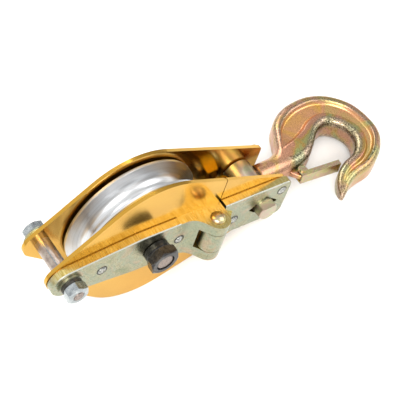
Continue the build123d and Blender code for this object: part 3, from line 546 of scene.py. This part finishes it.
def barProfile(width, half, corner, sunk, innerRim, outerRim):
    # half of the loop from the middle of the inner wall over the top face to the outer wall,
    # as (u, n, wear and painted sheen, panel)
    corner = min(corner, half - 0.1, width / 2 - 0.1)
    # the rim grit, worn plating and painted sheen alike, fades on the round neck
    thin = 1 - 0.75 * smoothStep((corner / width - 0.22) / 0.2)     # the round neck is hardly worn
    wall = half - corner
    slope, bend, upTo = hookShape["slope"], hookShape["cornerSteps"], hookShape["wallSteps"]
    loop = [(0, wall * k / upTo, 0.25 + 0.6 * (k / upTo) ** 3, 0) for k in range(upTo)]
    for k in range(bend):
        a = math.pi - math.pi / 2 * k / bend
        loop.append((corner + corner * math.cos(a), wall + corner * math.sin(a), 1, 0))
    for k in range(hookShape["columns"] + 1):
        u = corner + (width - 2 * corner) * k / hookShape["columns"]
        panel = smoothStep((u - innerRim) / slope) * smoothStep((width - outerRim - u) / slope)
        nearInner = max(0, 1 - (u - corner) / hookShape["wearSpread"]) ** 2
        # the outer rim's crest gets the grit too, partly wear and partly a painted highlight along the ridge
        fromRidge = (width - outerRim + 0.6 - u) / hookShape["ridge"]
        ridge = math.exp(-fromRidge ** 2) * min(sunk / 2, 1)
        loop.append((u, half - sunk * panel, max(nearInner, ridge), panel * min(sunk / 3, 1)))
    for k in range(bend):
        a = math.pi / 2 - math.pi / 2 * (k + 1) / bend
        loop.append((width - corner + corner * math.cos(a), wall + corner * math.sin(a),
                     0.75 * math.sin(2 * a), 0))
    loop += [(width, wall * k / upTo, 0.1, 0) for k in range(upTo - 1, 0, -1)]
    return [(u, n, wearAndSheen * thin, panel) for u, n, wearAndSheen, panel in loop]


def makeHookBar():
    sections = hookShape["sections"]
    columns = [[values[end][c] for values in sections] for end in (0, 1) for c in (0, 1)]
    columns += [[values[c] for values in sections] for c in range(2, 7)]
    perSection = hookShape["stepsPerSection"]
    points, marks = [], []
    for step in range((len(sections) - 1) * perSection + 1):
        along = step / perSection
        xi, yi, xo, yo, half, corner, sunk, inner, outer = [catmull(column, along) for column in columns]
        width = math.hypot(xo - xi, yo - yi)
        side = ((xo - xi) / width, (yo - yi) / width)
        top = barProfile(width, half, corner, max(sunk, 0), inner, outer)
        loop = top + [(u, -n, wearAndSheen, panel) for u, n, wearAndSheen, panel in reversed(top[1:])]
        points += [(xi + side[0] * u, yi + side[1] * u, n) for u, n, wearAndSheen, panel in loop]
        # the tip's grit, partly wear and partly a painted highlight
        tipWearAndSheen = hookShape["tipWearAndSheen"] * smoothStep((along - hookShape["tipStart"]) / 2)
        marks += [(max(wearAndSheen, tipWearAndSheen), panel) for u, n, wearAndSheen, panel in loop]
    count = len(loop)
    last = points[-count:]
    tip = Vector((sum(p[0] for p in last), sum(p[1] for p in last), 0)) / count
    lead = Vector((*hookShape["tipAhead"], 0))
    for shrink, ahead in hookShape["tipRings"]:
        points += [tuple(tip + (Vector(point) - tip) * shrink + lead * ahead) for point in last]
        marks += [(hookShape["endWearAndSheen"], 0)] * count
    rings = len(points) // count
    faces = [(i * count + k, i * count + (k + 1) % count, (i + 1) * count + (k + 1) % count,
              (i + 1) * count + k) for i in range(rings - 1) for k in range(count)]
    faces += [tuple(range(count)), tuple(reversed(range((rings - 1) * count, rings * count)))]
    bar = addPiece("forgedHook", points, faces, hookPlace, "hook", forgedChromate)
    for c, label in enumerate(("wearAndSheen", "panel")):
        attribute = bar.data.attributes.new(label, "FLOAT", "POINT")
        attribute.data.foreach_set("value", [mark[c] for mark in marks])
    fixNormals(bar)
    return bar


# domed head of the hinge pin, upset over the knuckle
pinHead = {"radius": 6.5, "height": 3.7, "steps": 9, "gap": 0.02}


def makePinHead():
    toBlock = blockPlace.inverted()
    at = toBlock @ Vector(joints["gate_swing"]["pos_m"])
    seat = blockPlace @ Matrix.Translation((at.x, at.y, 0)) @ Matrix.Rotation(-math.pi / 2, 4, "Y")
    knuckleTop = max((toBlock @ Vector(vertex.co)).z for vertex in nodes["gate_strap"].data.vertices) / mm
    low, steps = knuckleTop + pinHead["gap"], pinHead["steps"]
    arc = []
    for k in range(steps):
        angle = math.pi / 2 * k / steps
        arc.append((low + pinHead["height"] * math.sin(angle), pinHead["radius"] * math.cos(angle)))
    points, faces = lathe([(low, 0), *arc, (low + pinHead["height"], 0)])
    head = addPiece("hingePinHead", points, faces, seat, "frame", plated["yellowChromate"])
    fixNormals(head)


def roundedHull(circles, steps=10):
    # outline round circles (x, y, radius) listed counter-clockwise
    outline = []
    headings = []
    for (x1, y1, r1), (x2, y2, r2) in zip(circles, circles[1:] + circles[:1]):
        headings.append(math.atan2(y2 - y1, x2 - x1) - math.acos((r1 - r2) / math.hypot(x2 - x1, y2 - y1)))
    for i, (x, y, r) in enumerate(circles):
        sweep = (headings[i] - headings[i - 1]) % (2 * math.pi)
        for k in range(steps + 1):
            angle = headings[i - 1] + sweep * k / steps
            outline.append((x + r * math.cos(angle), y + r * math.sin(angle)))
    return outline


def plateSolid(outline, low, high, bevel):
    # flat solid with softened rims, drawn in X and Y
    count = len(outline)
    centre = Vector((sum(p[0] for p in outline), sum(p[1] for p in outline))) / count
    points = []
    for height, inset in ((low, bevel), (low + bevel, 0), (high - bevel, 0), (high, bevel)):
        for x, y in outline:
            toward = (centre - Vector((x, y))).normalized() * inset
            points.append((x + toward.x, y + toward.y, height))
    faces = [tuple(reversed(range(count))), tuple(range(3 * count, 4 * count))]
    for level in range(3):
        for k in range(count):
            a, b = level * count + k, level * count + (k + 1) % count
            faces.append((a, b, b + count, a + count))
    return points, faces


# lug that carries the latch: its pivot, and its foot on the neck as circles (x, y, radius)
latchSeat = {
    "pivot": (49.6, -14.8), "lugRadius": 4.6, "lugLow": -4.1, "lugHigh": 1.3, "lugBevel": 0.6,
    "foot": [(55.0, -6.0, 2.0), (41.0, -6.0, 3.0)], "slope": -7.5,
}


def makeHook():
    bar = makeHookBar()
    outline = roundedHull([(*latchSeat["pivot"], latchSeat["lugRadius"]), *latchSeat["foot"]])
    points, faces = plateSolid(outline, latchSeat["lugLow"], latchSeat["lugHigh"], latchSeat["lugBevel"])
    lug = addPiece("hookLug", points, faces, hookPlace, "hook", forgedChromate)
    fixNormals(lug)
    end, top, radius = hookShape["shankEnd"], hookShape["shankTop"], hookShape["shankRadius"]
    chamfer = hookShape["shankChamfer"]
    outline = [(end, 0), (end, radius - chamfer), (end + chamfer, radius), (top, radius), (top, 0)]
    points, faces = lathe(outline)
    shank = addPiece("hookShank", points, faces, hookPlace, "hook", plated["brightZincPlating"])
    fixNormals(shank)
    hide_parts("hook")


makeHook()
makePinHead()
print("hook and pin head made")


def newTree(name, inputs):
    tree = bpy.data.node_groups.new(name, "GeometryNodeTree")
    tree.interface.new_socket("Geometry", in_out="INPUT", socket_type="NodeSocketGeometry")
    for label in inputs:
        tree.interface.new_socket(label, in_out="INPUT", socket_type="NodeSocketFloat")
    tree.interface.new_socket("Geometry", in_out="OUTPUT", socket_type="NodeSocketGeometry")
    return tree, addNode(tree, "NodeGroupInput"), addNode(tree, "NodeGroupOutput")


def finishTree(tree, groupOut, geometry, material):
    real = addNode(tree, "GeometryNodeRealizeInstances", links={"Geometry": geometry})
    smooth = addNode(tree, "GeometryNodeSetShadeSmooth", links={0: real.outputs[0]})
    painted = addNode(tree, "GeometryNodeSetMaterial", {"Material": material},
                      {"Geometry": smooth.outputs[0]})
    tree.links.new(painted.outputs[0], groupOut.inputs[0])


def growPiece(name, tree, seeds, values, place, body):
    # runs a tree on seed points in millimetres and keeps the result as a plain mesh
    seedMesh = bpy.data.meshes.new(name + "Seed")
    seedMesh.from_pydata(seeds, [], [])
    seed = bpy.data.objects.new(name + "Seed", seedMesh)
    scene.collection.objects.link(seed)
    modifier = seed.modifiers.new("grow", "NODES")
    modifier.node_group = tree
    for item in tree.interface.items_tree:
        if item.in_out == "INPUT" and item.name in values:
            modifier[item.identifier] = values[item.name]
    mesh = bpy.data.meshes.new_from_object(seed.evaluated_get(bpy.context.evaluated_depsgraph_get()))
    seed.modifiers.remove(modifier)
    bpy.data.objects.remove(seed)
    mesh.name = name
    mesh.transform(place @ Matrix.Scale(mm, 4))
    piece = bpy.data.objects.new(name, mesh)
    scene.collection.objects.link(piece)
    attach(piece, body)
    return piece


# hammered rivet heads and a dark ring round each as painted shadow in the gap at its countersink, at (along,
# up) from the axle on each body
rivetHeads = {
    "headRadius": 3.9, "headHeight": 1.1, "dentMm": 1.05, "dentsPerMm": 0.55, "shadowRingRadius": 4.35,
    "shadowRingWire": 0.42, "sink": 0.3,
    "gate": [(-50.0, 0.0), (23.0, 0.0)], "frame": [(79.4, -4.0), (126.0, 11.5)],
}


def makeHeadTree():
    # one dome on each seed point, dented by a noise
    tree, groupIn, groupOut = newTree("rivetHeads", ["Radius", "Height", "Dent"])
    ball = addNode(tree, "GeometryNodeMeshUVSphere", {"Segments": 28, "Rings": 14, "Radius": 1.0})
    size = addNode(tree, "ShaderNodeCombineXYZ", links={
        "X": groupIn.outputs["Radius"], "Y": groupIn.outputs["Height"], "Z": groupIn.outputs["Radius"]})
    dome = addNode(tree, "GeometryNodeTransform",
                   links={"Geometry": ball.outputs[0], "Scale": size.outputs[0]})
    spots = addNode(tree, "GeometryNodeInstanceOnPoints",
                    links={"Points": groupIn.outputs[0], "Instance": dome.outputs[0]})
    real = addNode(tree, "GeometryNodeRealizeInstances", links={"Geometry": spots.outputs[0]})
    noise = addNode(tree, "ShaderNodeTexNoise", {"Scale": rivetHeads["dentsPerMm"], "Detail": 1})
    level = addNode(tree, "ShaderNodeMath", {1: 0.5}, {0: noise.outputs[0]}, operation="SUBTRACT")
    push = addNode(tree, "ShaderNodeMath", links={0: level.outputs[0], 1: groupIn.outputs["Dent"]},
                   operation="MULTIPLY")
    offset = addNode(tree, "ShaderNodeCombineXYZ", links={"Y": push.outputs[0]})
    dented = addNode(tree, "GeometryNodeSetPosition",
                     links={"Geometry": real.outputs[0], "Offset": offset.outputs[0]})
    finishTree(tree, groupOut, dented.outputs[0], plated["hammeredSteel"])
    return tree


def makeShadowRingTree():
    # one dark ring on each seed point, a painted shadow where a head meets its countersink
    tree, groupIn, groupOut = newTree("rivetShadowRings", ["Radius", "Wire"])
    path = addNode(tree, "GeometryNodeCurvePrimitiveCircle", {"Resolution": 32},
                   {"Radius": groupIn.outputs["Radius"]})
    wire = addNode(tree, "GeometryNodeCurvePrimitiveCircle", {"Resolution": 8},
                   {"Radius": groupIn.outputs["Wire"]})
    ring = addNode(tree, "GeometryNodeCurveToMesh",
                   links={"Curve": path.outputs[0], "Profile Curve": wire.outputs[0]})
    flat = addNode(tree, "GeometryNodeTransform", {"Rotation": (math.pi / 2, 0, 0)},
                   {"Geometry": ring.outputs[0]})
    spots = addNode(tree, "GeometryNodeInstanceOnPoints",
                    links={"Points": groupIn.outputs[0], "Instance": flat.outputs[0]})
    finishTree(tree, groupOut, spots.outputs[0], plated["darkSpringSteel"])
    return tree


def makeRivetHeads():
    headTree, shadowRingTree = makeHeadTree(), makeShadowRingTree()
    nearFace = (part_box("gate_rivets")[0][1] - axle.y) / mm + rivetHeads["sink"]
    farFace = (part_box("far_rivets")[1][1] - axle.y) / mm - rivetHeads["sink"]
    headSizes = {"Radius": rivetHeads["headRadius"], "Height": rivetHeads["headHeight"],
                 "Dent": rivetHeads["dentMm"]}
    shadowRingSizes = {"Radius": rivetHeads["shadowRingRadius"], "Wire": rivetHeads["shadowRingWire"]}
    for body in ("gate", "frame"):
        seeds = [(x, nearFace, z) for x, z in rivetHeads[body]]
        if body == "frame":
            # the far strap's two, opposite the gate's
            seeds += [(x, farFace, z) for x, z in rivetHeads["gate"]]
        growPiece(body + "RivetHeads", headTree, seeds, headSizes, blockPlace, body)
        growPiece(body + "RivetShadowRings", shadowRingTree, seeds, shadowRingSizes, blockPlace, body)


makeRivetHeads()
print("rivets made")

# spring of the latch: a coil and a heel that bear on the hook, and a long leg under the latch
latchSpring = {
    "coilRadius": 2.75, "wire": 0.4, "height": 2.0, "turns": 3.0,
    "legEnd": (14.0, -4.45), "heel": (-3.6, -2.4), "lift": 2.0,
}


def sweepWire(tree, groupIn, groupOut, path):
    wire = addNode(tree, "GeometryNodeCurvePrimitiveCircle", {"Resolution": 10},
                   {"Radius": groupIn.outputs["Wire"]})
    swept = addNode(tree, "GeometryNodeCurveToMesh", {"Fill Caps": True},
                    {"Curve": path, "Profile Curve": wire.outputs[0]})
    finishTree(tree, groupOut, swept.outputs[0], plated["darkSpringSteel"])


def makeCoilTree():
    tree, groupIn, groupOut = newTree("latchCoil", ["Radius", "Wire", "Height", "Turns"])
    coil = addNode(tree, "GeometryNodeCurveSpiral", {"Resolution": 28}, {
        "Rotations": groupIn.outputs["Turns"], "Start Radius": groupIn.outputs["Radius"],
        "End Radius": groupIn.outputs["Radius"], "Height": groupIn.outputs["Height"]})
    turned = addNode(tree, "GeometryNodeTransform", {"Rotation": (0, 0, -math.pi / 2)},
                     {"Geometry": coil.outputs[0]})
    heel = addNode(tree, "GeometryNodeCurvePrimitiveLine",
                   {"Start": (0, -latchSpring["coilRadius"], 0), "End": (*latchSpring["heel"], 0)})
    joined = addNode(tree, "GeometryNodeJoinGeometry")
    for part in (turned, heel):
        tree.links.new(part.outputs[0], joined.inputs[0])
    sweepWire(tree, groupIn, groupOut, joined.outputs[0])
    return tree


def makeLegTree():
    tree, groupIn, groupOut = newTree("latchLeg", ["Wire", "Height"])
    shift = addNode(tree, "ShaderNodeCombineXYZ", links={"Z": groupIn.outputs["Height"]})
    line = addNode(tree, "GeometryNodeCurvePrimitiveLine",
                   {"Start": (0, -latchSpring["coilRadius"], 0), "End": (*latchSpring["legEnd"], 0)})
    leg = addNode(tree, "GeometryNodeTransform",
                  links={"Geometry": line.outputs[0], "Translation": shift.outputs[0]})
    sweepWire(tree, groupIn, groupOut, leg.outputs[0])
    return tree


def makeLatchSpring():
    seat = hookPlace @ Matrix.Translation(Vector((*latchSeat["pivot"], latchSpring["lift"])) * mm)
    seat = seat @ Matrix.Rotation(math.radians(latchSeat["slope"]), 4, "Z")
    sizes = {"Radius": latchSpring["coilRadius"], "Wire": latchSpring["wire"],
             "Height": latchSpring["height"], "Turns": latchSpring["turns"]}
    coil = growPiece("latchSpringCoil", makeCoilTree(), [(0, 0, 0)], sizes, seat, "hook")
    growPiece("latchSpringLeg", makeLegTree(), [(0, 0, 0)], sizes, seat, "latch")
    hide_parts("latch_spring")


makeLatchSpring()
print("spring made")

# matt paper floor, a pale room that is brighter on one side, and three soft lamps (place, size, watts)
studio = {
    "floorHalf": 60.0, "floorTone": "#f4f4f2", "world": 1.2, "dim": 0.5,
    "brightSide": (-0.68, -0.2, 0.7), "dimFrom": -0.5, "brightFrom": 0.9,
    "lamps": {"key": ((-0.5, -0.7, 1.2), 0.7, 16), "fill": ((0.9, -0.4, 0.8), 0.9, 7),
              "rim": ((0.2, 1.0, 0.9), 0.8, 8)},
}


def addStudio():
    half = studio["floorHalf"]
    mesh = bpy.data.meshes.new("floor")
    corners = [(-half, -half, 0), (half, -half, 0), (half, half, 0), (-half, half, 0)]
    mesh.from_pydata(corners, [], [(0, 1, 2, 3)])
    floor = bpy.data.objects.new("floor", mesh)
    scene.collection.objects.link(floor)
    material, tree, shader = newMaterial("paperSweep")
    shader.inputs["Base Color"].default_value = srgb(studio["floorTone"])
    shader.inputs["Roughness"].default_value = 0.9
    mesh.materials.append(material)
    world = bpy.data.worlds.new("studio")
    world.use_nodes = True
    tree = world.node_tree
    coords = addNode(tree, "ShaderNodeTexCoord")
    toward = addNode(tree, "ShaderNodeVectorMath", {1: studio["brightSide"]},
                     {0: coords.outputs["Generated"]}, operation="DOT_PRODUCT")
    power = addNode(tree, "ShaderNodeMapRange",
                    {"From Min": studio["dimFrom"], "From Max": studio["brightFrom"],
                     "To Min": studio["dim"], "To Max": studio["world"]}, {"Value": toward.outputs["Value"]})
    tree.links.new(power.outputs[0], tree.nodes["Background"].inputs["Strength"])
    tree.nodes["Background"].inputs["Color"].default_value = (1, 1, 1, 1)
    scene.world = world
    for name, (place, size, watts) in studio["lamps"].items():
        data = bpy.data.lights.new(name, "AREA")
        data.size = size
        data.energy = watts
        lamp = bpy.data.objects.new(name, data)
        lamp.location = place
        lamp.rotation_euler = (-Vector(place)).to_track_quat("-Z", "Y").to_euler()
        scene.collection.objects.link(lamp)
    scene.view_settings.view_transform = "Standard"


addStudio()
print("studio lit")
